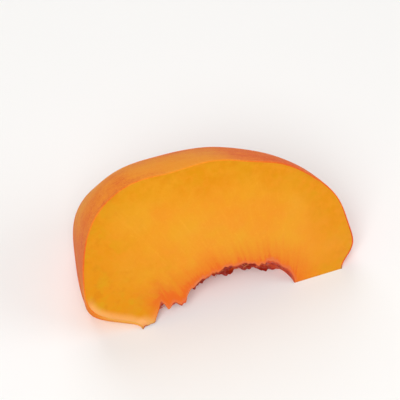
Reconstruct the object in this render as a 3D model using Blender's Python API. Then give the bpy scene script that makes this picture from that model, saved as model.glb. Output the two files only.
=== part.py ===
"""A wedge of ripe yellow peach, cut down to the stone and pulled off it, lying on one of its two cut faces.

The fruit's axis, from stem to tip, runs along X. The wedge is made the way a turned piece is: the outline of a
cut face, worked out from the fruit's and the stone's sizes, is filled with a grid and swept round that axis.
The flat cut face lies on z = 0, the skin is the round back on the +Y side, and the bed that the stone left
looks towards -Y. The skin's lumps, the knife's waver and the torn bed are then raised on the swept surface.
"""

import math

import bmesh
import bpy
from mathutils import Vector, noise

MM = 0.001

# The whole fruit: its broad shoulders, its girth at its widest place, and its rounder tip. Places are measured
# along the axis, and a squareness of 2 would be an ellipse.
WIDEST_PLACE = -5.0 * MM
SHOULDER_REACH = 26.8 * MM
TIP_REACH = 39.6 * MM
GIRTH_RADIUS = 36.5 * MM
SHOULDER_SQUARENESS = 3.3
TIP_SQUARENESS = 2.35
STEM_DIMPLE_DEPTH = 12.2 * MM
STEM_DIMPLE_RADIUS = 5.2 * MM
TIP_HOLLOW_DEPTH = 4.5 * MM
TIP_HOLLOW_RADIUS = 4.2 * MM
SHOULDER_LIP_RADIUS = 8.0 * MM
TIP_LIP_RADIUS = 4.5 * MM

# The stone, whose bed is left along the core. It starts at the bottom of the stem dimple, and grows thicker
# slowly from there to its blunt tip.
STONE_THICKEST_PLACE = 2.0 * MM
STONE_STEM_REACH = STONE_THICKEST_PLACE - (WIDEST_PLACE - SHOULDER_REACH + STEM_DIMPLE_DEPTH)
STONE_TIP_REACH = 16.0 * MM
STONE_HALF_THICKNESS = 8.7 * MM
STONE_STEM_SQUARENESS = 1.4
STONE_TIP_SQUARENESS = 2.2

# The knife: the wedge's angle, and how far its upper cut bows and wavers from flat.
WEDGE_ANGLE = math.radians(66)
KNIFE_BOW = 0.7 * MM
KNIFE_WAVER = 0.35 * MM
KNIFE_WAVER_SIZE = 16.0 * MM

# The wedge was cut beside the fruit's lower shoulder, so its shoulder falls away towards the flat cut.
SHOULDER_FALL = 2.0 * MM
SHOULDER_START = -5.0 * MM
SHOULDER_END = -32.0 * MM
SHOULDER_ROUND = 12.0 * MM

# Unevenness of the skin, which dies away inwards, and of the torn bed, which dies away outwards and at the axis.
LUMP_HEIGHT = 1.0 * MM
LUMP_SIZE = 14.0 * MM
LUMP_PLACE = Vector((17.6, 17.9, 7.7))
LUMP_FADE = 2
FURROW_HEIGHT = 1.1 * MM
FURROW_LENGTH = 7.0 * MM
FURROW_WIDTH = 2.4 * MM
TEAR_HEIGHT = 2.0 * MM
TEAR_SIZE = 3.0 * MM
TEAR_REACH = 2.2 * MM
LOWER_TEAR_PLACE = Vector((0.0, 0.0, 3.0))
UPPER_TEAR_PLACE = Vector((0.0, 5.0, 3.0))
BED_FADE = 4
CORE_RADIUS = 7.0 * MM

# Tags of torn flesh that hang over the bed from its upper rim, and a nick in it: (place along the axis, reach,
# half width) of each.
RIM_TAGS = (
    (-17.0 * MM, 2.7 * MM, 1.6 * MM),
    (-14.2 * MM, -1.3 * MM, 0.7 * MM),
    (-12.5 * MM, 2.6 * MM, 1.0 * MM),
    (-8.7 * MM, 3.2 * MM, 1.8 * MM),
    (-5.0 * MM, 1.3 * MM, 1.8 * MM),
)
RIM_TAG_LIMIT = 0.8

# The grid that fills a cut face, and the steps of the sweep.
STATIONS = 60
COLUMNS = 10
SWEEP_STEPS = 20
OUTLINE_POINTS = 600
MERGE_DISTANCE = 0.02 * MM

# Linear colours, with roughness.
FLESH = ("flesh", (0.86, 0.36, 0.022), 0.32)
SKIN = ("skin", (0.87, 0.20, 0.030), 0.55)
STONE_BED = ("stone bed", (0.48, 0.055, 0.010), 0.45)


def clear_scene():
    """Starts from an empty scene."""
    for old in list(bpy.data.objects):
        bpy.data.objects.remove(old)


def rounded(angle, squareness):
    """(along, out) on a quarter of a rounded square of radius 1, from the axis at 0 to the girth at pi / 2."""
    return abs(math.cos(angle)) ** (2 / squareness), abs(math.sin(angle)) ** (2 / squareness)


def fruit_outline(angle):
    """(along the axis, out from it) of the whole fruit's outline, from 0 at the stem to pi at the tip."""
    if angle < math.pi / 2:
        along, out = rounded(angle, SHOULDER_SQUARENESS)
        out *= GIRTH_RADIUS
        dimple = STEM_DIMPLE_DEPTH * math.exp(-((out / STEM_DIMPLE_RADIUS) ** 2))
        return WIDEST_PLACE - SHOULDER_REACH * along + dimple, out
    along, out = rounded(angle, TIP_SQUARENESS)
    out *= GIRTH_RADIUS
    hollow = TIP_HOLLOW_DEPTH * math.exp(-((out / TIP_HOLLOW_RADIUS) ** 2))
    return WIDEST_PLACE + TIP_REACH * along - hollow, out


def stone_outline(angle):
    """(along, out) of the stone's outline, from 0 at its stem end to pi at its tip end."""
    if angle < math.pi / 2:
        along, out = rounded(angle, STONE_STEM_SQUARENESS)
        return STONE_THICKEST_PLACE - STONE_STEM_REACH * along, STONE_HALF_THICKNESS * out
    along, out = rounded(angle, STONE_TIP_SQUARENESS)
    return STONE_THICKEST_PLACE + STONE_TIP_REACH * along, STONE_HALF_THICKNESS * out


def evenly(points):
    """A function of 0 to 1 that walks along a line of points at an even pace."""
    lengths = [0.0]
    for before, after in zip(points, points[1:]):
        lengths.append(lengths[-1] + math.dist(before, after))

    def at(share):
        target = share * lengths[-1]
        i = next((k for k, length in enumerate(lengths[1:]) if length >= target), len(lengths) - 2)
        step = lengths[i + 1] - lengths[i]
        part = (target - lengths[i]) / step if step else 0.0
        return tuple(a + (b - a) * part for a, b in zip(points[i], points[i + 1]))

    return at


def face_sides():
    """The four sides of a cut face: stem dimple, skin, tip, and stone bed with the core line beyond it."""
    angles = [math.pi * i / OUTLINE_POINTS for i in range(OUTLINE_POINTS + 1)]
    fruit = [fruit_outline(angle) for angle in angles]
    stone = [stone_outline(angle) for angle in angles]
    lip = next(i for i, (_, out) in enumerate(fruit) if out > SHOULDER_LIP_RADIUS)
    tip = next(i for i in range(OUTLINE_POINTS, 0, -1) if fruit[i][1] > TIP_LIP_RADIUS)
    fruit[0] = stone[0] = (fruit[0][0], 0.0)
    fruit[-1] = (fruit[-1][0], 0.0)
    dimple = evenly(fruit[: lip + 1])
    skin = evenly(fruit[lip : tip + 1])
    end = evenly(fruit[: tip - 1 : -1])
    core = evenly([*stone, fruit[-1]])
    return dimple, skin, end, core


def filled(u, v, sides):
    """The point of the cut face at u from stem to tip and v from core to skin, blended from its four sides."""
    dimple, skin, end, core = sides
    corners = (core(0), core(1), skin(0), skin(1))
    return tuple(
        (1 - v) * core(u)[i] + v * skin(u)[i] + (1 - u) * dimple(v)[i] + u * end(v)[i]
        - (1 - v) * ((1 - u) * corners[0][i] + u * corners[1][i])
        - v * ((1 - u) * corners[2][i] + u * corners[3][i])
        for i in range(2)
    )


def swept_wedge(bm):
    """Sweeps the filled cut face round the axis. Layers u and v keep each point's place on the face."""
    u_layer = bm.verts.layers.float.new("u")
    v_layer = bm.verts.layers.float.new("v")
    bmesh.ops.create_grid(bm, x_segments=STATIONS, y_segments=COLUMNS, size=0.5)
    sides = face_sides()
    for vert in bm.verts:
        u, v = vert.co.x + 0.5, vert.co.y + 0.5
        vert[u_layer], vert[v_layer] = u, v
        vert.co = (*filled(u, v, sides), 0.0)
    face = bm.verts[:] + bm.edges[:] + bm.faces[:]
    bmesh.ops.spin(bm, geom=face, axis=(1, 0, 0), angle=WEDGE_ANGLE, steps=SWEEP_STEPS)
    bmesh.ops.remove_doubles(bm, verts=bm.verts, dist=MERGE_DISTANCE)
    bmesh.ops.recalc_face_normals(bm, faces=bm.faces)
    return u_layer, v_layer


def furrows(along, turn):
    """Height of the torn bed at a place along the stone and an angle round it: long ridges, sharp on top."""
    place = Vector((along / FURROW_LENGTH, turn * STONE_HALF_THICKNESS / FURROW_WIDTH, 0.0))
    return FURROW_HEIGHT * (0.5 - 2 * abs(noise.noise(place)))


def tear(along, turn):
    """How far the flesh is torn at the rim of the bed, which dies away inside the two knife cuts."""
    from_cut = min(turn, WEDGE_ANGLE - turn) * STONE_HALF_THICKNESS
    strength = max(0.0, 1 - from_cut / TEAR_REACH)
    rim = LOWER_TEAR_PLACE if turn < WEDGE_ANGLE / 2 else UPPER_TEAR_PLACE
    return TEAR_HEIGHT * strength * noise.noise(rim + Vector((along / TEAR_SIZE, 0.0, 0.0)))


def rim_tag(along, out, turn):
    """How far the upper rim of the bed is torn inwards, which is never quite as far as the axis."""
    from_cut = (WEDGE_ANGLE - turn) * STONE_HALF_THICKNESS
    strength = max(0.0, 1 - from_cut / TEAR_REACH)
    reach = sum(tag * math.exp(-(((along - place) / width) ** 2)) for place, tag, width in RIM_TAGS)
    return strength * min(reach, RIM_TAG_LIMIT * out)


def shoulder_fall(along, out, turn):
    """How far the shoulder falls back along the axis: most at the flat cut, and not at all at the upper one."""
    share = min(1.0, max(0.0, (along - SHOULDER_START) / (SHOULDER_END - SHOULDER_START)))
    return SHOULDER_FALL * (1 - turn / WEDGE_ANGLE) * share * min(1.0, out / SHOULDER_ROUND)


def knife_waver(along, out, u, v):
    """How far the upper cut stands off its plane: a bow over the whole face and the knife's slow waver."""
    bow = KNIFE_BOW * math.sin(math.pi * u) * math.sin(math.pi * v)
    return bow + KNIFE_WAVER * noise.noise(Vector((along, out, 0.0)) / KNIFE_WAVER_SIZE)


def uneven(vert, u, v):
    """Moves a swept point by the unevenness of the surface that it lies on or near."""
    along, out = vert.co.x, math.hypot(vert.co.y, vert.co.z)
    turn = math.atan2(vert.co.z, vert.co.y) if out > MERGE_DISTANCE else 0.0
    lump = LUMP_HEIGHT * noise.noise(vert.co / LUMP_SIZE + LUMP_PLACE) * v**LUMP_FADE
    swelling = 1 + lump / GIRTH_RADIUS
    near_bed = (1 - v) ** BED_FADE
    torn = (furrows(along, turn) + tear(along, turn)) * min(1.0, out / CORE_RADIUS)
    new_out = out * swelling + near_bed * (torn - rim_tag(along, out, turn))
    lift = knife_waver(along, out, u, v) / max(out, CORE_RADIUS)
    new_turn = turn + lift * turn / WEDGE_ANGLE
    new_along = along * swelling + shoulder_fall(along, out, turn)
    vert.co = (new_along, new_out * math.cos(new_turn), new_out * math.sin(new_turn))


def add_material(mesh, name, colour, roughness):
    """One plain finish, as the next material of the mesh."""
    material = bpy.data.materials.new(name)
    material.use_nodes = True
    shader = material.node_tree.nodes["Principled BSDF"]
    shader.inputs["Base Color"].default_value = (*colour, 1.0)
    shader.inputs["Roughness"].default_value = roughness
    shader.inputs["Metallic"].default_value = 0.0
    mesh.materials.append(material)


def give_finishes(bm, u_layer, v_layer):
    """Skin on the back, the dimple and the tip, torn bed along the core, and flesh on the two cuts."""
    for face in bm.faces:
        us = [vert[u_layer] for vert in face.verts]
        vs = [vert[v_layer] for vert in face.verts]
        if min(vs) == 1.0 or max(us) == 0.0 or min(us) == 1.0:
            face.material_index = 1
        elif max(vs) == 0.0:
            face.material_index = 2
        face.smooth = True


def centre_on_base(bm):
    """Puts the middle of the box round the wedge over the origin, with the flat cut on z = 0."""
    for axis in (0, 1):
        places = [vert.co[axis] for vert in bm.verts]
        middle = (min(places) + max(places)) / 2
        for vert in bm.verts:
            vert.co[axis] -= middle


def make_wedge():
    """The peach wedge, one closed solid."""
    bm = bmesh.new()
    u_layer, v_layer = swept_wedge(bm)
    for vert in bm.verts:
        uneven(vert, vert[u_layer], vert[v_layer])
    give_finishes(bm, u_layer, v_layer)
    centre_on_base(bm)
    mesh = bpy.data.meshes.new("peach_wedge")
    bm.to_mesh(mesh)
    bm.free()
    for name, colour, roughness in (FLESH, SKIN, STONE_BED):
        add_material(mesh, name, colour, roughness)
    wedge = bpy.data.objects.new("peach_wedge", mesh)
    group = bpy.data.collections.new("peach wedge")
    bpy.context.scene.collection.children.link(group)
    group.objects.link(wedge)
    return wedge


clear_scene()
make_wedge()
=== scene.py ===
"""A wedge of ripe yellow peach with its skin on, lying on one of its two cut faces.

It has a flesh body, the thin skin on its back, and the torn fibres on the bed that the stone left.
Lengths are in metres. A place along the fruit's axis, a distance out from it and a turn round it are
measured as in the CAD part: the axis runs along X, and the wedge is swept round it from the flat cut
that it lies on to its upper cut.
"""

import math
import random
from bisect import bisect_left

import bmesh
import bpy
from mathutils import Matrix, Vector, kdtree, noise


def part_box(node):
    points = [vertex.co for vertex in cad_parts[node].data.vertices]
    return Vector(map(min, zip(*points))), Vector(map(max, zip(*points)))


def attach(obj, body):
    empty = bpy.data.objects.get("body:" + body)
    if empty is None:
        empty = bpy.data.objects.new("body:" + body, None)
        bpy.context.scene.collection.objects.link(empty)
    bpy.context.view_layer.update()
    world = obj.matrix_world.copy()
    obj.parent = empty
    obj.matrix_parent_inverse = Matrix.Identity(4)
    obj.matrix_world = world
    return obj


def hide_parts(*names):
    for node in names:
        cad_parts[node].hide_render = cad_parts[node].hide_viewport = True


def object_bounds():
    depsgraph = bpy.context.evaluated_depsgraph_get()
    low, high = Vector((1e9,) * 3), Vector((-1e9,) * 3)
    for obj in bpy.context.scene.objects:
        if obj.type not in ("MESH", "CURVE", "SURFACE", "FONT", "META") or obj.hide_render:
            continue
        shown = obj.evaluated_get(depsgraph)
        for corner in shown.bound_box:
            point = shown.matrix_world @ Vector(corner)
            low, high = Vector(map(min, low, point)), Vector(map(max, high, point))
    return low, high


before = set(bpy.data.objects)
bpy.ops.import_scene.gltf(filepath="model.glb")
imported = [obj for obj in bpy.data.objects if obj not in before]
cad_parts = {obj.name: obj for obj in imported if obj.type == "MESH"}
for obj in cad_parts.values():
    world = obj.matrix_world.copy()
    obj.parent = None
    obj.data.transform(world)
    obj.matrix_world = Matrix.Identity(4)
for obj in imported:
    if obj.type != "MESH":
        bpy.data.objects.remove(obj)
packed_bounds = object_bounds()


# ----------------------------------------------------------------------------------------------------
# Flesh. The body of the wedge: wet, golden, ripe fruit flesh. Two knife cuts down to the stone made
# its two smooth faces, and pulling it off the stone tore the deep red, stringy bed along its core.
# ----------------------------------------------------------------------------------------------------

MM = 0.001

# The whole fruit and its stone, as in the CAD part. A squareness of 2 would be an ellipse.
WIDEST_PLACE = -5.0 * MM
SHOULDER_REACH = 26.8 * MM
TIP_REACH = 39.6 * MM
GIRTH_RADIUS = 36.5 * MM
SHOULDER_SQUARENESS = 3.3
TIP_SQUARENESS = 2.35
STEM_DIMPLE_DEPTH = 12.2 * MM
STEM_DIMPLE_RADIUS = 5.2 * MM
TIP_HOLLOW_DEPTH = 4.5 * MM
TIP_HOLLOW_RADIUS = 4.2 * MM
SHOULDER_LIP_RADIUS = 8.0 * MM
TIP_LIP_RADIUS = 4.5 * MM
STONE_THICKEST_PLACE = 2.0 * MM
STONE_STEM_REACH = STONE_THICKEST_PLACE - (WIDEST_PLACE - SHOULDER_REACH + STEM_DIMPLE_DEPTH)
STONE_TIP_REACH = 16.0 * MM
STONE_HALF_THICKNESS = 8.7 * MM
STONE_STEM_SQUARENESS = 1.4
STONE_TIP_SQUARENESS = 2.2

# The knife's two cuts, and how far the upper one bows and wavers. The ripple and the drag lines are
# finer. A slice is a level of the noise that no other relief reads.
WEDGE_ANGLE = math.radians(66)
KNIFE_BOW = 0.7 * MM
KNIFE_WAVER = 0.35 * MM
KNIFE_WAVER_SIZE = 16.0 * MM
KNIFE_RIPPLE = 0.10 * MM
KNIFE_RIPPLE_SIZE = 4.5 * MM
DRAG_LINE_HEIGHT = 0.035 * MM
DRAG_LINE_LENGTH = 18.0 * MM
DRAG_LINE_WIDTH = 1.1 * MM
DRAG_LINE_SLICE = 2.0

# The shoulder falls away towards the flat cut.
SHOULDER_FALL = 2.0 * MM
SHOULDER_START = -5.0 * MM
SHOULDER_END = -32.0 * MM
SHOULDER_ROUND = 12.0 * MM

# Unevenness of the round back, which dies away inwards.
LUMP_HEIGHT = 1.0 * MM
LUMP_SIZE = 14.0 * MM
LUMP_PLACE = Vector((17.6, 17.9, 7.7))
LUMP_FADE = 2

# The torn bed: furrows, ragged rims, and the tags and nick of the upper rim, as in the CAD part, and
# then the finer fibres, nubs and frayed rims. A fade is the power by which each dies away from the
# bed, and inside the core radius all of it dies away towards the axis. Each tag is (place along the
# axis, reach, half width). The nick's reach is below 0, and no tag reaches further than the limit's
# share of the way to the axis.
FURROW_HEIGHT = 1.1 * MM
FURROW_LENGTH = 7.0 * MM
FURROW_WIDTH = 2.4 * MM
TEAR_HEIGHT = 2.0 * MM
TEAR_SIZE = 3.0 * MM
TEAR_REACH = 2.2 * MM
LOWER_TEAR_PLACE = Vector((0.0, 0.0, 3.0))
UPPER_TEAR_PLACE = Vector((0.0, 5.0, 3.0))
BED_FADE = 4
CORE_RADIUS = 7.0 * MM
RIM_TAGS = (
    (-17.0 * MM, 2.7 * MM, 1.6 * MM),
    (-14.2 * MM, -1.3 * MM, 0.7 * MM),
    (-12.5 * MM, 2.6 * MM, 1.0 * MM),
    (-8.7 * MM, 3.2 * MM, 1.8 * MM),
    (-5.0 * MM, 1.3 * MM, 1.8 * MM),
)
RIM_TAG_LIMIT = 0.8
FIBRE_HEIGHT = 0.55 * MM
FIBRE_LENGTH = 3.4 * MM
FIBRE_WIDTH = 0.75 * MM
FIBRE_SWAY = 0.9 * MM
FIBRE_SWAY_SIZE = 2.8 * MM
FIBRE_SLICE = 4.0
NUB_HEIGHT = 0.40 * MM
NUB_SIZE = 0.9 * MM
FRAY_HEIGHT = 0.7 * MM
FRAY_SIZE = 0.8 * MM
FRAY_REACH = 1.2 * MM
FRAY_SLICE = 7.0
FINE_FADE = 22

# The grid that fills a cut face, the power that crowds its columns towards the bed, and the steps of
# the sweep.
STATIONS = 210
COLUMNS = 54
COLUMN_CROWDING = 1.35
SWEEP_STEPS = 112
OUTLINE_POINTS = 6000
MERGE_DISTANCE = 0.001 * MM

# The flesh stands back under the skin by a hair less than its thickness, so that no gap shows. Flesh
# that is deeper than the reach stays where it is.
SKIN_THICKNESS = 0.34 * MM
SKIN_HOLD = 0.02 * MM
STAND_BACK_REACH = 4.0 * MM
CRISP_EDGE = math.radians(55)


def rounded(angle, squareness):
    """(along, out) on a quarter of a rounded square of radius 1, from the axis to the girth."""
    return abs(math.cos(angle)) ** (2 / squareness), abs(math.sin(angle)) ** (2 / squareness)


def fruit_outline(angle):
    """(along the axis, out from it) of the whole fruit's outline, from 0 at the stem to pi at the tip."""
    if angle < math.pi / 2:
        along, out = rounded(angle, SHOULDER_SQUARENESS)
        out *= GIRTH_RADIUS
        dimple = STEM_DIMPLE_DEPTH * math.exp(-((out / STEM_DIMPLE_RADIUS) ** 2))
        return WIDEST_PLACE - SHOULDER_REACH * along + dimple, out
    along, out = rounded(angle, TIP_SQUARENESS)
    out *= GIRTH_RADIUS
    hollow = TIP_HOLLOW_DEPTH * math.exp(-((out / TIP_HOLLOW_RADIUS) ** 2))
    return WIDEST_PLACE + TIP_REACH * along - hollow, out


def stone_outline(angle):
    """(along, out) of the stone's outline, from 0 at its stem end to pi at its tip end."""
    if angle < math.pi / 2:
        along, out = rounded(angle, STONE_STEM_SQUARENESS)
        return STONE_THICKEST_PLACE - STONE_STEM_REACH * along, STONE_HALF_THICKNESS * out
    along, out = rounded(angle, STONE_TIP_SQUARENESS)
    return STONE_THICKEST_PLACE + STONE_TIP_REACH * along, STONE_HALF_THICKNESS * out


def running_lengths(points):
    """How far along a line of points each of them lies."""
    lengths = [0.0]
    for before, after in zip(points, points[1:]):
        lengths.append(lengths[-1] + math.dist(before, after))
    return lengths


def evenly(points):
    """A function of 0 to 1 that walks along a line of points at an even pace."""
    lengths = running_lengths(points)

    def at(share):
        target = share * lengths[-1]
        after = min(max(bisect_left(lengths, target), 1), len(points) - 1)
        step = lengths[after] - lengths[after - 1]
        part = (target - lengths[after - 1]) / step if step else 0.0
        return tuple(a + (b - a) * part for a, b in zip(points[after - 1], points[after]))

    return at


outline_angles = [math.pi * i / OUTLINE_POINTS for i in range(OUTLINE_POINTS + 1)]
fruit_line = [fruit_outline(angle) for angle in outline_angles]
stone_line = [stone_outline(angle) for angle in outline_angles]
# Both start at the bottom of the stem dimple, and the fruit's ends on the axis.
fruit_line[0] = stone_line[0] = (fruit_line[0][0], 0.0)
fruit_line[-1] = (fruit_line[-1][0], 0.0)
fruit_lengths = running_lengths(fruit_line)


def face_sides():
    """The four sides of a cut face: stem dimple, skin, tip, and stone bed with the core line beyond it."""
    lip = next(i for i, (_, out) in enumerate(fruit_line) if out > SHOULDER_LIP_RADIUS)
    tip = next(i for i in range(OUTLINE_POINTS, 0, -1) if fruit_line[i][1] > TIP_LIP_RADIUS)
    dimple = evenly(fruit_line[: lip + 1])
    skin = evenly(fruit_line[lip : tip + 1])
    end = evenly(fruit_line[: tip - 1 : -1])
    core = evenly([*stone_line, fruit_line[-1]])
    return dimple, skin, end, core


def filled(u, v, sides):
    """The point of the cut face at u from stem to tip and v from core to skin, from its four sides."""
    dimple, skin, end, core = sides
    corners = (core(0), core(1), skin(0), skin(1))
    return tuple(
        (1 - v) * core(u)[i] + v * skin(u)[i] + (1 - u) * dimple(v)[i] + u * end(v)[i]
        - (1 - v) * ((1 - u) * corners[0][i] + u * corners[1][i])
        - v * ((1 - u) * corners[2][i] + u * corners[3][i])
        for i in range(2)
    )


def swept_wedge(bm):
    """A closed shell: the filled cut face, its turned copy, and its rim swept round the axis."""
    u_layer = bm.verts.layers.float["u"]
    v_layer = bm.verts.layers.float["v"]
    bmesh.ops.create_grid(bm, x_segments=STATIONS, y_segments=COLUMNS, size=0.5)
    sides = face_sides()
    for vert in bm.verts:
        u = round(vert.co.x + 0.5, 6)
        v = round(vert.co.y + 0.5, 6) ** COLUMN_CROWDING
        vert[u_layer], vert[v_layer] = u, v
        vert.co = (*filled(u, v, sides), 0.0)
    rim = [edge for edge in bm.edges if edge.is_boundary]
    rim_verts = list({vert for edge in rim for vert in edge.verts})
    copied = bmesh.ops.duplicate(bm, geom=bm.verts[:] + bm.edges[:] + bm.faces[:])["geom"]
    upper = [item for item in copied if isinstance(item, bmesh.types.BMVert)]
    bmesh.ops.rotate(bm, verts=upper, cent=(0, 0, 0), matrix=Matrix.Rotation(WEDGE_ANGLE, 3, "X"))
    bmesh.ops.spin(bm, geom=rim_verts + rim, axis=(1, 0, 0), angle=WEDGE_ANGLE, steps=SWEEP_STEPS)
    bmesh.ops.remove_doubles(bm, verts=bm.verts, dist=MERGE_DISTANCE)
    bmesh.ops.recalc_face_normals(bm, faces=bm.faces)


def ridged(place):
    """Sharp-topped ridges: 0.5 on a crest, and lower away from it."""
    return 0.5 - 2 * abs(noise.noise(place))


def furrows(along, turn):
    """Height of the torn bed at a place along the stone and a turn round it: long, sharp-topped ridges."""
    place = Vector((along / FURROW_LENGTH, turn * STONE_HALF_THICKNESS / FURROW_WIDTH, 0.0))
    return FURROW_HEIGHT * ridged(place)


def fine_fibres(along, turn):
    """Finer height of the torn bed: fibres that sway as they run lengthwise, and nubs between them."""
    arc = turn * STONE_HALF_THICKNESS
    sway = FIBRE_SWAY * noise.noise(Vector((along, arc, 0.0)) / FIBRE_SWAY_SIZE)
    place = Vector((along / FIBRE_LENGTH, (arc + sway) / FIBRE_WIDTH, FIBRE_SLICE))
    return FIBRE_HEIGHT * ridged(place) + NUB_HEIGHT * noise.noise(Vector((along, arc, 0.0)) / NUB_SIZE)


def rim_strength(turn, reach):
    """1 at either rim of the bed and 0 at that reach from it, with the place of that rim's noise."""
    from_cut = min(turn, WEDGE_ANGLE - turn) * STONE_HALF_THICKNESS
    rim = LOWER_TEAR_PLACE if turn < WEDGE_ANGLE / 2 else UPPER_TEAR_PLACE
    return max(0.0, 1 - from_cut / reach), rim


def tear(along, turn):
    """How far the flesh is torn at the rim of the bed, which dies away inside the two knife cuts."""
    strength, rim = rim_strength(turn, TEAR_REACH)
    return TEAR_HEIGHT * strength * noise.noise(rim + Vector((along / TEAR_SIZE, 0.0, 0.0)))


def fray(along, turn):
    """The finer raggedness of the same rims."""
    strength, rim = rim_strength(turn, FRAY_REACH)
    return FRAY_HEIGHT * strength * noise.noise(rim + Vector((along / FRAY_SIZE, 0.0, FRAY_SLICE)))


def rim_tag(along, out, turn):
    """How far the upper rim of the bed is torn inwards, which is never quite as far as the axis."""
    from_cut = (WEDGE_ANGLE - turn) * STONE_HALF_THICKNESS
    strength = max(0.0, 1 - from_cut / TEAR_REACH)
    reach = sum(tag * math.exp(-(((along - place) / width) ** 2)) for place, tag, width in RIM_TAGS)
    return strength * min(reach, RIM_TAG_LIMIT * out)


def shoulder_fall(along, out, turn):
    """How far the shoulder falls back along the axis: most at the flat cut, and 0 at the upper one."""
    share = min(1.0, max(0.0, (along - SHOULDER_START) / (SHOULDER_END - SHOULDER_START)))
    return SHOULDER_FALL * (1 - turn / WEDGE_ANGLE) * share * min(1.0, out / SHOULDER_ROUND)


def knife_waver(along, out, u, v):
    """How far the upper cut stands off its plane: a bow all over it, waver, ripple and drag lines."""
    bow = KNIFE_BOW * math.sin(math.pi * u) * math.sin(math.pi * v)
    place = Vector((along, out, 0.0))
    ripple = KNIFE_RIPPLE * noise.noise(place / KNIFE_RIPPLE_SIZE)
    drag_place = Vector((along / DRAG_LINE_LENGTH, out / DRAG_LINE_WIDTH, DRAG_LINE_SLICE))
    drag = DRAG_LINE_HEIGHT * noise.noise(drag_place)
    return bow + KNIFE_WAVER * noise.noise(place / KNIFE_WAVER_SIZE) + ripple + drag


def uneven(vert, u, v):
    """Moves a swept point by its surface's unevenness, and returns how high it stands on the bed."""
    along, out = vert.co.x, math.hypot(vert.co.y, vert.co.z)
    turn = math.atan2(vert.co.z, vert.co.y) if out > MERGE_DISTANCE else 0.0
    lump = LUMP_HEIGHT * noise.noise(vert.co / LUMP_SIZE + LUMP_PLACE) * v**LUMP_FADE
    swelling = 1 + lump / GIRTH_RADIUS
    at_core = min(1.0, out / CORE_RADIUS)
    torn = (furrows(along, turn) + tear(along, turn)) * at_core
    fine = (fine_fibres(along, turn) + fray(along, turn)) * at_core
    moved = (1 - v) ** BED_FADE * (torn - rim_tag(along, out, turn)) + (1 - v) ** FINE_FADE * fine
    new_out = out * swelling + moved
    new_turn = turn * (1 + knife_waver(along, out, u, v) / max(out, CORE_RADIUS) / WEDGE_ANGLE)
    new_along = along * swelling + shoulder_fall(along, out, turn)
    vert.co = (new_along, new_out * math.cos(new_turn), new_out * math.sin(new_turn))
    return torn + fine


def nearest(line):
    """A tree that finds the nearest point of an outline."""
    tree = kdtree.KDTree(len(line))
    for i, point in enumerate(line):
        tree.insert((*point, 0.0), i)
    tree.balance()
    return tree


nearest_on_stone, nearest_on_fruit = nearest(stone_line), nearest(fruit_line)


def note_places(bm):
    """Keeps, for the materials and in millimetres, where each point lies on the smooth swept wedge."""
    layer = {name: bm.verts.layers.float[name] for name in ("from_stone", "from_skin", "arc", "reach")}
    for vert in bm.verts:
        place = (vert.co.x, math.hypot(vert.co.y, vert.co.z), 0.0)
        _, i, from_skin = nearest_on_fruit.find(place)
        vert[layer["from_stone"]] = nearest_on_stone.find(place)[2] / MM
        vert[layer["from_skin"]] = from_skin / MM
        vert[layer["arc"]] = math.atan2(vert.co.z, vert.co.y) * GIRTH_RADIUS / MM
        vert[layer["reach"]] = fruit_lengths[i] / MM


def under_skin_shifts(bm):
    """How far each point of the smooth swept wedge moves inwards to make room for the skin."""
    shifts = []
    for vert in bm.verts:
        out = math.hypot(vert.co.y, vert.co.z)
        _, i, from_skin = nearest_on_fruit.find((vert.co.x, out, 0.0))
        before, after = fruit_line[max(i - 1, 0)], fruit_line[min(i + 1, OUTLINE_POINTS)]
        forward = Vector(after) - Vector(before)
        radial = Vector((0.0, vert.co.y, vert.co.z)).normalized()
        inward = (Vector((forward.y, 0.0, 0.0)) - radial * forward.x).normalized()
        strength = max(0.0, 1 - from_skin / STAND_BACK_REACH)
        shifts.append(inward * strength * (SKIN_THICKNESS - SKIN_HOLD))
    return shifts


def lies_on(face, side, layers):
    """Whether a face is on the skin side or on the bed of the wedge."""
    us = [vert[layers["u"]] for vert in face.verts]
    vs = [vert[layers["v"]] for vert in face.verts]
    if side == "skin":
        return min(vs) == 1.0 or max(us) == 0.0 or min(us) == 1.0
    return max(vs) == 0.0


def put_on_packed_box(bm):
    """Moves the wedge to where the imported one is. Both have the flat cut on z = 0."""
    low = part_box("peach_wedge")[0]
    for axis in (0, 1):
        shift = low[axis] - min(vert.co[axis] for vert in bm.verts)
        for vert in bm.verts:
            vert.co[axis] += shift


def finished_mesh(bm, name, finish):
    """The bmesh as an object with one material, shaded smooth but for its crisp edges."""
    for face in bm.faces:
        face.smooth = True
    mesh = bpy.data.meshes.new(name)
    bm.to_mesh(mesh)
    mesh.set_sharp_from_angle(angle=CRISP_EDGE)
    mesh.materials.append(finish.material)
    piece = bpy.data.objects.new(name, mesh)
    bpy.context.scene.collection.objects.link(piece)
    return piece


class Value:
    """A value that changes over a surface. Maths on it adds the Math nodes that work it out."""

    def __init__(self, finish, socket):
        self.finish = finish
        self.socket = socket

    def maths(self, operation, first, second):
        return self.finish.node("Math", {"operation": operation}, {0: first, 1: second})

    def __add__(self, other):
        return self.maths("ADD", self, other)

    def __sub__(self, other):
        return self.maths("SUBTRACT", self, other)

    def __rsub__(self, other):
        return self.maths("SUBTRACT", other, self)

    def __mul__(self, other):
        return self.maths("MULTIPLY", self, other)

    def __truediv__(self, other):
        return self.maths("DIVIDE", self, other)

    __radd__ = __add__
    __rmul__ = __mul__


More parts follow.
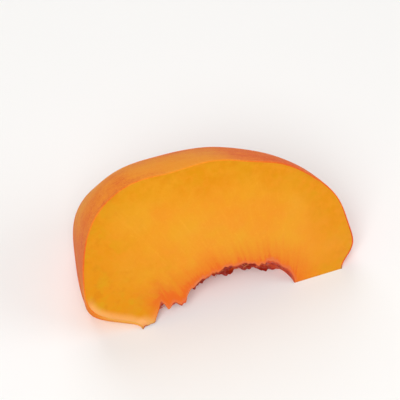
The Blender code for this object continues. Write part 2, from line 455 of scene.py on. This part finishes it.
class Finish:
    """A material, with the ways in which its nodes are added."""

    def __init__(self, name):
        self.material = bpy.data.materials.new(name)
        self.material.use_nodes = True
        self.tree = self.material.node_tree
        self.shader = self.tree.nodes["Principled BSDF"]
        self.place = self.node("TexCoord", {}, {}, "Object")

    def node(self, kind, settings, sockets, output=0):
        """Adds a node with its settings and its sockets' values or links, and returns one of its outputs."""
        made = self.tree.nodes.new("ShaderNode" + kind)
        for name, value in settings.items():
            setattr(made, name, value)
        for name, value in sockets.items():
            self.feed(made.inputs[name], value)
        return Value(self, made.outputs[output])

    def feed(self, socket, value):
        """Gives a socket its value, or its link where the value changes over the surface."""
        if isinstance(value, Value):
            self.tree.links.new(value.socket, socket)
        else:
            socket.default_value = value

    def set(self, **values):
        """Sets the shader's sockets, whose names are written with _ for a space."""
        for name, value in values.items():
            self.feed(self.shader.inputs[name.replace("_", " ")], value)

    def field(self, name):
        """A value that is kept on the mesh's points."""
        return self.node("Attribute", {"attribute_name": name}, {}, "Fac")

    def fade(self, value, start, end):
        """0 where the value is at start, 1 where it is at end, and smooth between."""
        sockets = {"Value": value, "From Min": start, "From Max": end}
        return self.node("MapRange", {"interpolation_type": "SMOOTHSTEP"}, sockets)

    def clouds(self, place, size, detail=3.0, roughness=0.55):
        """Soft noise of 0 to 1, of a size in the units of the place."""
        sockets = {"Vector": place, "Scale": 1 / size, "Detail": detail, "Roughness": roughness}
        return self.node("TexNoise", {}, sockets, "Fac")

    def point(self, x, y, z=0.0):
        """A place made of three values."""
        return self.node("CombineXYZ", {}, {0: x, 1: y, 2: z})

    def mixed(self, factor, first, second):
        """A colour between two others: the first where the factor is 0, the second where it is 1."""
        first, second = (c if isinstance(c, Value) else (*c, 1.0) for c in (first, second))
        return self.node("Mix", {"data_type": "RGBA"}, {0: factor, 6: first, 7: second}, 2)

    def bumped(self, height, depth, normal=None):
        """The normal of a surface with a relief of that depth, over another relief if one is given."""
        sockets = {"Height": height, "Distance": depth, "Strength": 1.0}
        if normal:
            sockets["Normal"] = normal
        return self.node("Bump", {}, sockets, "Normal")


# Linear colours of the flesh: within, in its clouds and as painted shade towards the tip, in its paler
# fibres, under the skin and at the stem end, in the blots and flecks there, and the painted highlight on the
# lip of the dimple and of the torn end.
GOLDEN = (0.82, 0.362, 0.011)
AMBER = (0.84, 0.310, 0.014)
PALE_GOLD = (0.90, 0.430, 0.030)
UNDER_SKIN = (0.76, 0.288, 0.000)
DEEP_GOLD = (0.73, 0.332, 0.003)
FLECK = (0.70, 0.225, 0.000)
LIP_HIGHLIGHT = (0.96, 0.450, 0.140)
# The red that creeps out of the bed, the rim's torn pink edge with a painted highlight, and on the bed the
# painted shade of its hollows, the red of its slopes and the painted highlight of its crests.
FLAME = (0.80, 0.130, 0.006)
PINK_RIM_AND_HIGHLIGHT = (0.76, 0.190, 0.060)
BED_HOLLOW_SHADE = (0.40, 0.024, 0.007)
BED_RED = (0.70, 0.080, 0.012)
CREST_HIGHLIGHT = (0.86, 0.230, 0.050)

# The fibres that run from the stone out to the skin: how many lie side by side from the stem end to the
# tip, and how many follow each other on the way out.
RAYS = (46.0, 1.6)
FINE_RAYS = (150.0, 5.0)
FINE_RAY_SLICE = 3.0
RAY_RELIEF = 0.03 * MM

# The sizes of the flesh's clouds, blots, flecks, specks and cells, and how high the cells stand.
CLOUD_SIZE = 11.0 * MM
BLOT_SIZE = 4.5 * MM
FLECK_SIZE = 2.6 * MM
SPECK_SIZE = 1.7 * MM
CELL_SIZE = 0.55 * MM
CELL_RELIEF = 0.10 * MM

# In millimetres: how far the red creeps out along the fibres, between the cells and at the stem end, and
# then where each colour is gone and where it is full, by its distance from the stone or from the skin. A
# reach is counted along the skin from the stem.
RAY_CREEP = 7.0
CELL_CREEP = 1.6
STEM_CREEP = 2.0
FLAME_FADE = (8.0, -0.5)
DEEP_FLAME_FADE = (2.2, 0.0)
RIM_FADE = (1.1, 0.2)
BED_EDGE_FADE = (0.35, 0.02)
UNDER_SKIN_FADE = (11.0, 1.0)
DIMPLE_HIGHLIGHT_FADE = (2.4, 0.2)
DIMPLE_HIGHLIGHT_REACH = (18.5, 14.5)
END_HIGHLIGHT_FADE = (2.6, 0.5)


def flesh_finish():
    """Wet golden flesh that turns flame red within a few millimetres of the bed, and dark red on it."""
    flesh = Finish("peach flesh")
    from_stone, from_skin = flesh.field("from_stone"), flesh.field("from_skin")
    relief = flesh.field("relief")
    station, depth, reach = flesh.field("u"), flesh.field("v"), flesh.field("reach")

    ray_place = flesh.point(station * RAYS[0], depth * RAYS[1])
    fine_ray_place = flesh.point(station * FINE_RAYS[0], depth * FINE_RAYS[1], FINE_RAY_SLICE)
    rays = flesh.clouds(ray_place, 1.0, 4.0, 0.6)
    fine_rays = flesh.clouds(fine_ray_place, 1.0, 2.0)
    mottle = flesh.clouds(flesh.place, CLOUD_SIZE)
    specks = flesh.clouds(flesh.place, SPECK_SIZE, 3.0, 0.6)
    cells = flesh.clouds(flesh.place, CELL_SIZE, 2.0)
    blots = flesh.clouds(flesh.place, BLOT_SIZE, 3.0, 0.6)
    flecks = flesh.clouds(flesh.place, FLECK_SIZE, 3.0, 0.6)

    # Golden flesh with amber clouds, paler along its fibres and in some cells, and amber towards the tip,
    # partly its own flame tinge and partly painted shade.
    colour = flesh.mixed(flesh.fade(mottle, 0.34, 0.68), AMBER, GOLDEN)
    pale = flesh.fade(rays * 0.5 + fine_rays * 0.5, 0.50, 0.72) * flesh.fade(from_stone, 3.0, 12.0)
    colour = flesh.mixed(pale * 0.35 + flesh.fade(cells, 0.50, 0.75) * 0.20, colour, PALE_GOLD)
    colour = flesh.mixed(flesh.fade(station, 0.62, 0.95) * 0.8, colour, AMBER)

    # Deeper, blotted and flecked at the stem end and under the skin.
    stem_end = flesh.fade(station + (specks - 0.5) * 0.2, 0.38, 0.02)
    under_skin = flesh.fade(from_skin + (mottle - 0.5) * 12.0, *UNDER_SKIN_FADE)
    colour = flesh.mixed(stem_end * 0.75, colour, UNDER_SKIN)
    speckled = flesh.fade(specks, 0.35, 0.65) * 0.55 + 0.40
    colour = flesh.mixed(under_skin * speckled, colour, UNDER_SKIN)
    outer = stem_end + under_skin * 0.6
    colour = flesh.mixed(outer * flesh.fade(blots, 0.44, 0.64) * 0.80, colour, DEEP_GOLD)
    colour = flesh.mixed(outer * flesh.fade(flecks, 0.54, 0.68) * 0.32, colour, FLECK)

    # Painted highlight: the lip of the stem dimple and the torn end beside the stem are painted pale, as
    # where their edges catch the light.
    dimple_highlight = flesh.fade(from_skin, *DIMPLE_HIGHLIGHT_FADE) * flesh.fade(reach, *DIMPLE_HIGHLIGHT_REACH)
    end_highlight = flesh.fade(from_stone, *END_HIGHLIGHT_FADE) * flesh.fade(station, 0.13, 0.06)
    colour = flesh.mixed((dimple_highlight + end_highlight) * 0.8, colour, LIP_HIGHLIGHT)

    # The red creeps out of the bed unevenly, but not into the torn end with its painted highlight. Its rim
    # is pink, partly the torn flesh's own colour and partly a painted highlight.
    redness = flesh.fade(station, 0.06, 0.15)
    creep = (rays - 0.5) * RAY_CREEP
    stem_creep = flesh.fade(station, 0.45, 0.10) * STEM_CREEP
    uneven_from_stone = from_stone - creep + (cells - 0.5) * CELL_CREEP - stem_creep
    colour = flesh.mixed(flesh.fade(uneven_from_stone, *FLAME_FADE) * redness * 0.60, colour, FLAME)
    colour = flesh.mixed(flesh.fade(uneven_from_stone, *DEEP_FLAME_FADE) * redness * 0.70, colour, FLAME)
    rim = flesh.fade(from_stone + (cells - 0.5) * 1.2, *RIM_FADE)
    colour = flesh.mixed(rim * (redness * 0.6 + 0.2), colour, PINK_RIM_AND_HIGHLIGHT)

    # The bed's red is painted dark in its hollows as painted shade, and pale on its crests as painted
    # highlight.
    on_bed = flesh.fade(from_stone, *BED_EDGE_FADE)
    bed = flesh.mixed(flesh.fade(relief + (cells - 0.5) * 0.6, -0.35, 0.45), BED_HOLLOW_SHADE, BED_RED)
    bed = flesh.mixed(flesh.fade(relief + (cells - 0.5) * 0.5, 0.30, 0.95) * 0.8, bed, CREST_HIGHLIGHT)
    colour = flesh.mixed(on_bed, colour, bed)

    flesh.set(
        Base_Color=colour,
        Roughness=0.34 + (cells - 0.5) * 0.25 + on_bed * 0.08,
        Coat_Weight=0.03 + flesh.fade(mottle, 0.4, 0.7) * 0.12 + on_bed * 0.22,
        Coat_Roughness=0.22,
        Specular_IOR_Level=0.16,
        Subsurface_Weight=0.6,
        Subsurface_Radius=(1.0, 0.60, 0.25),
        Subsurface_Scale=0.5 * MM,
        Normal=flesh.bumped(cells, CELL_RELIEF, flesh.bumped(fine_rays, RAY_RELIEF)),
    )
    return flesh


wedge = bmesh.new()
for layer_name in ("u", "v", "from_stone", "from_skin", "arc", "reach", "relief"):
    wedge.verts.layers.float.new(layer_name)
swept_wedge(wedge)
note_places(wedge)
shifts = under_skin_shifts(wedge)
wedge_layers = {name: wedge.verts.layers.float[name] for name in ("u", "v", "relief")}
for vert in wedge.verts:
    vert[wedge_layers["relief"]] = uneven(vert, vert[wedge_layers["u"]], vert[wedge_layers["v"]]) / MM
put_on_packed_box(wedge)
wedge.normal_update()

body = wedge.copy()
for vert, shift in zip(body.verts, shifts):
    vert.co += shift
    vert.co.z = max(vert.co.z, 0.0)
flesh = finished_mesh(body, "peach_flesh_body", flesh_finish())
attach(flesh, "root")
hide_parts("peach_wedge")


# ----------------------------------------------------------------------------------------------------
# Skin. A thin, finely furred peel, golden yellow with a red-orange blush and darker streaks along the
# meridians. It covers the round back, the stem dimple and the tip, and grows on the flesh.
# ----------------------------------------------------------------------------------------------------

# Linear colours: the ground, the three depths of the blush, the painted sheen of the fur beside the upper
# cut, the lenticels and the dimple, the scars of the stem and the tip, and the fur.
SKIN_GOLD = (0.90, 0.370, 0.020)
SKIN_ORANGE = (0.88, 0.210, 0.016)
SKIN_CORAL = (0.80, 0.105, 0.020)
SKIN_RED = (0.60, 0.045, 0.010)
FUR_SHEEN_TAN = (0.94, 0.325, 0.023)
SKIN_CREAM = (0.91, 0.420, 0.080)
SKIN_SCAR = (0.34, 0.150, 0.045)
FUZZ_TINT = (1.0, 0.72, 0.42, 1.0)

# The sizes of the blush's patches, blots and speckles, the spacing of the lenticels, and the fur.
PATCH_SIZE = 24.0 * MM
SKIN_BLOT_SIZE = 5.0 * MM
SPECKLE_SIZE = 0.60 * MM
LENTICEL_SPACING = 1.3 * MM
FUR_SIZE = 0.22 * MM
FUR_DEPTH = 0.06 * MM

# In millimetres: the width and length of a streak, which runs along a meridian, and where each colour
# starts and is full, counted along the skin from the stem, or from the tip for the scar on it.
STREAK = (2.6, 15.0)
FINE_STREAK = (0.6, 4.0)
FINE_STREAK_SLICE = 5.0
TIP_BLUSH_REACH = (10.0, 80.0)
STEM_BLUSH_REACH = (44.0, 28.0)
SHEEN_START_REACH = (24.0, 44.0)
SHEEN_END_REACH = (85.0, 60.0)
DIMPLE_CREAM_REACH = (14.0, 6.0)
STEM_SCAR_REACH = (1.0, 0.2)
TIP_SCAR_REACH = (1.3, 0.3)


def skin_finish():
    """Blushed, streaked and speckled peel under a pale, very short fur."""
    skin = Finish("peach skin")
    arc, reach = skin.field("arc"), skin.field("reach")
    whole_arc = WEDGE_ANGLE * GIRTH_RADIUS / MM
    from_tip = fruit_lengths[-1] / MM - reach

    # The blush lies in broad soft patches, is stronger at the stem end and towards the tip, and thins
    # out in speckles and faint streaks along the meridians.
    patches = skin.clouds(skin.place, PATCH_SIZE, 3.0, 0.5)
    blots = skin.clouds(skin.place, SKIN_BLOT_SIZE, 3.0, 0.6)
    streaks = skin.clouds(skin.point(arc / STREAK[0], reach / STREAK[1]), 1.0)
    fine_streak_place = skin.point(arc / FINE_STREAK[0], reach / FINE_STREAK[1], FINE_STREAK_SLICE)
    fine_streaks = skin.clouds(fine_streak_place, 1.0, 3.0, 0.6)
    speckles = skin.clouds(skin.place, SPECKLE_SIZE, 3.0, 0.65)
    blush = (patches - 0.5) * 2.6 + (blots - 0.5) * 0.6
    blush = blush + (streaks - 0.5) * 0.7 + (fine_streaks - 0.5) * 0.4 + (speckles - 0.5)
    blush = blush + skin.fade(reach, *TIP_BLUSH_REACH) * 0.25 + skin.fade(reach, *STEM_BLUSH_REACH) * 0.35
    colour = skin.mixed(skin.fade(blush, -0.75, 0.25), SKIN_GOLD, SKIN_ORANGE)
    colour = skin.mixed(skin.fade(blush, -0.15, 0.75), colour, SKIN_CORAL)
    colour = skin.mixed(skin.fade(blush, 0.50, 1.35) * 0.8, colour, SKIN_RED)

    # Painted sheen: beside the upper cut, where the fur is seen at a grazing angle, the skin is painted tan
    # where the blush isn't full, but not at the stem end or the tip.
    near_upper_cut = skin.fade(arc, 0.55 * whole_arc, whole_arc)
    sheen_band = near_upper_cut * skin.fade(reach, *SHEEN_END_REACH) * skin.fade(reach, *SHEEN_START_REACH)
    colour = skin.mixed(sheen_band * skin.fade(blush, 1.0, 0.0) * 0.85, colour, FUR_SHEEN_TAN)

    # Small pale lenticels, the cream dimple, and the brown scars of the stem and the tip.
    lenticels = skin.node(
        "TexVoronoi", {}, {"Vector": skin.place, "Scale": 1 / LENTICEL_SPACING}, "Distance"
    )
    colour = skin.mixed(skin.fade(lenticels, 0.17, 0.07) * 0.35, colour, SKIN_CREAM)
    in_dimple = skin.fade(reach + (streaks - 0.5) * 6.0, *DIMPLE_CREAM_REACH)
    colour = skin.mixed(in_dimple * 0.8, colour, SKIN_CREAM)
    colour = skin.mixed(skin.fade(reach, *STEM_SCAR_REACH) * 0.6, colour, SKIN_SCAR)
    colour = skin.mixed(skin.fade(from_tip, *TIP_SCAR_REACH) * 0.8, colour, SKIN_SCAR)

    skin.set(
        Base_Color=colour,
        Roughness=0.64 + (speckles - 0.5) * 0.2,
        Specular_IOR_Level=0.10,
        Sheen_Weight=0.03,
        Sheen_Roughness=0.45,
        Sheen_Tint=FUZZ_TINT,
        Subsurface_Weight=0.25,
        Subsurface_Radius=(1.0, 0.35, 0.10),
        Subsurface_Scale=0.8 * MM,
        Normal=skin.bumped(skin.clouds(skin.place, FUR_SIZE, 2.0, 0.7), FUR_DEPTH),
    )
    return skin


peel = wedge.copy()
peel_layers = {name: peel.verts.layers.float[name] for name in ("u", "v")}
bared = [face for face in peel.faces if not lies_on(face, "skin", peel_layers)]
bmesh.ops.delete(peel, geom=bared, context="FACES")
bmesh.ops.solidify(peel, geom=peel.faces[:], thickness=SKIN_THICKNESS)
for vert in peel.verts:
    vert.co.z = max(vert.co.z, 0.0)
skin = finished_mesh(peel, "peach_skin_back", skin_finish())
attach(skin, "root")
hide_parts("peach_wedge")


# ----------------------------------------------------------------------------------------------------
# Torn fibres. Short strings of flesh that stayed on the bed when the stone was pulled out, dark red at
# the root and paler where they were stretched thin. They grow out of the bed.
# ----------------------------------------------------------------------------------------------------

# A pair is the least and the most. The sway and the lift are shares of a string's length.
STRING_SEED = 7
STRING_COUNT = 170
STRING_LENGTH = (0.9 * MM, 2.5 * MM)
STRING_RADIUS = (0.07 * MM, 0.19 * MM)
STRING_TAPER = 0.3
STRING_FLATNESS = 0.55
STRING_SIDES = 5
STRING_RINGS = 7
STRING_ROOT_DEPTH = 0.12 * MM
STRING_SLANT = math.radians(40)
STRING_SWAY = 0.10
STRING_WAVES = (2, 5)
STRING_LIFT = (0.0, 0.22)
ROOT_CLEARANCE = 2.0 * MM
RIM_CLEARANCE = math.radians(8)
STRING_ROOT_COLOUR = (0.46, 0.040, 0.008)
STRING_TIP_COLOUR = (0.82, 0.220, 0.045)
STRING_GRAIN_SIZE = 0.4 * MM
STRING_GRAIN_DEPTH = 0.03 * MM


def strings_finish():
    """Moist strings, from dark red roots to translucent orange ends."""
    strings = Finish("torn bed fibres")
    tip, tone = strings.field("tip"), strings.field("tone")
    grain = strings.clouds(strings.place, STRING_GRAIN_SIZE, 2.0)
    paleness = tip * 0.5 + tone * 0.5 + (grain - 0.5) * 0.3
    strings.set(
        Base_Color=strings.mixed(strings.fade(paleness, 0.1, 1.0), STRING_ROOT_COLOUR, STRING_TIP_COLOUR),
        Roughness=0.36 + (grain - 0.5) * 0.2,
        Coat_Weight=0.2,
        Specular_IOR_Level=0.30,
        Subsurface_Weight=0.5,
        Subsurface_Radius=(1.0, 0.45, 0.15),
        Subsurface_Scale=0.6 * MM,
        Normal=strings.bumped(grain, STRING_GRAIN_DEPTH),
    )
    return strings


def straight_string():
    """One tapered string of length and root radius 1, standing along Z, with rings where it can bend."""
    bm = bmesh.new()
    bmesh.ops.create_cone(
        bm, cap_ends=True, segments=STRING_SIDES, radius1=1.0, radius2=STRING_TAPER, depth=1.0
    )
    bmesh.ops.translate(bm, verts=bm.verts, vec=(0, 0, 0.5))
    for ring in range(1, STRING_RINGS):
        whole = bm.verts[:] + bm.edges[:] + bm.faces[:]
        bmesh.ops.bisect_plane(bm, geom=whole, plane_co=(0, 0, ring / STRING_RINGS), plane_no=(0, 0, 1))
    mesh = bpy.data.meshes.new("straight string")
    bm.to_mesh(mesh)
    bm.free()
    return mesh


def lay_string(tangle, string, root, draw):
    """Adds a string that lies along the bed from its root and sways to the sides, its tip lifted off.

    A string whose tip would reach either rim of the bed, or hang out of the wedge, is left off.
    """
    normal = root.normal
    slant = draw.choice((0, math.pi)) + draw.uniform(-STRING_SLANT, STRING_SLANT)
    forward = Matrix.Rotation(slant, 3, normal) @ Vector((1, 0, 0))
    forward = (forward - normal * forward.dot(normal)).normalized()
    sideways = normal.cross(forward)
    length, radius = draw.uniform(*STRING_LENGTH), draw.uniform(*STRING_RADIUS)
    lift, sway = draw.uniform(*STRING_LIFT), draw.uniform(-STRING_SWAY, STRING_SWAY)
    phase, waves = draw.uniform(0, math.pi), draw.uniform(*STRING_WAVES)
    tone = draw.random()
    tip = root.co + forward * length + normal * lift * length
    tip_turn = math.atan2(tip.z, tip.y - core_line_y)
    if tip.y < core_line_y or not RIM_CLEARANCE < tip_turn < WEDGE_ANGLE - RIM_CLEARANCE:
        return
    first = len(tangle.verts)
    tangle.from_mesh(string)
    tangle.verts.ensure_lookup_table()
    for vert in tangle.verts[first:]:
        x, y, z = vert.co
        aside = x * radius + sway * length * (math.sin(phase + waves * z) - math.sin(phase))
        above = y * radius * STRING_FLATNESS + lift * length * z * z - STRING_ROOT_DEPTH * (1 - z)
        vert.co = root.co + forward * z * length + sideways * aside + normal * above
        vert.co.z = max(vert.co.z, 0.0)
        vert[tangle.verts.layers.float["tip"]] = z
        vert[tangle.verts.layers.float["tone"]] = tone


core_line_y = packed_bounds[0].y
bed_roots = [
    vert for vert in wedge.verts
    if math.hypot(vert.co.y - core_line_y, vert.co.z) > ROOT_CLEARANCE
    and all(lies_on(face, "bed", wedge_layers) for face in vert.link_faces)
]
tangle = bmesh.new()
tangle.verts.layers.float.new("tip")
tangle.verts.layers.float.new("tone")
string_mesh = straight_string()
draw = random.Random(STRING_SEED)
for root in draw.sample(bed_roots, STRING_COUNT):
    lay_string(tangle, string_mesh, root, draw)
strings = finished_mesh(tangle, "stone_bed_fibres", strings_finish())
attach(strings, "root")
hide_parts("peach_wedge")


# ----------------------------------------------------------------------------------------------------
# Studio. A plain pale floor, a pale room and three soft lights, and the camera at the photograph's
# angle. None of it is part of the wedge.
# ----------------------------------------------------------------------------------------------------

FLOOR_RADIUS = 2.0
FLOOR_SIDES = 64
FLOOR_COLOUR = (0.93, 0.925, 0.915, 1.0)
ROOM_COLOUR = (1.0, 0.985, 0.96, 1.0)
ROOM_STRENGTH = 0.30
CAMERA_AZIMUTH = math.radians(-21)
CAMERA_ELEVATION = math.radians(49)
CAMERA_DISTANCE = 0.46
CAMERA_LENS = 180
CAMERA_CLIP_START = 0.01
# Each light: its place, the side of its square in metres, and its power in watts.
LIGHTS = {
    "key": ((-0.30, -0.45, 0.60), 0.50, 4.2),
    "fill": ((0.55, -0.25, 0.35), 0.50, 1.4),
    "back": ((0.05, 0.55, 0.50), 0.50, 1.8),
}

floor_bm = bmesh.new()
bmesh.ops.create_circle(floor_bm, cap_ends=True, segments=FLOOR_SIDES, radius=FLOOR_RADIUS)
floor_finish = Finish("pale floor")
floor_finish.set(Base_Color=FLOOR_COLOUR, Roughness=0.6, Specular_IOR_Level=0.2)
floor = finished_mesh(floor_bm, "floor", floor_finish)

middle = (packed_bounds[0] + packed_bounds[1]) / 2
for light_name, (place, side, power) in LIGHTS.items():
    lamp = bpy.data.lights.new(light_name, "AREA")
    lamp.size = side
    lamp.energy = power
    light = bpy.data.objects.new(light_name, lamp)
    light.location = place
    light.rotation_euler = (middle - Vector(place)).to_track_quat("-Z", "Y").to_euler()
    bpy.context.scene.collection.objects.link(light)

world = bpy.data.worlds.new("pale room")
world.use_nodes = True
room = world.node_tree.nodes["Background"].inputs
room["Color"].default_value = ROOM_COLOUR
room["Strength"].default_value = ROOM_STRENGTH
bpy.context.scene.world = world
bpy.context.scene.view_settings.view_transform = "Standard"

towards_camera = Vector((
    math.sin(CAMERA_AZIMUTH) * math.cos(CAMERA_ELEVATION),
    -math.cos(CAMERA_AZIMUTH) * math.cos(CAMERA_ELEVATION),
    math.sin(CAMERA_ELEVATION),
))
camera_data = bpy.data.cameras.new("camera")
camera_data.lens = CAMERA_LENS
camera_data.clip_start = CAMERA_CLIP_START
camera = bpy.data.objects.new("camera", camera_data)
camera.location = middle + towards_camera * CAMERA_DISTANCE
camera.rotation_euler = (-towards_camera).to_track_quat("-Z", "Y").to_euler()
bpy.context.scene.collection.objects.link(camera)
bpy.context.scene.camera = camera
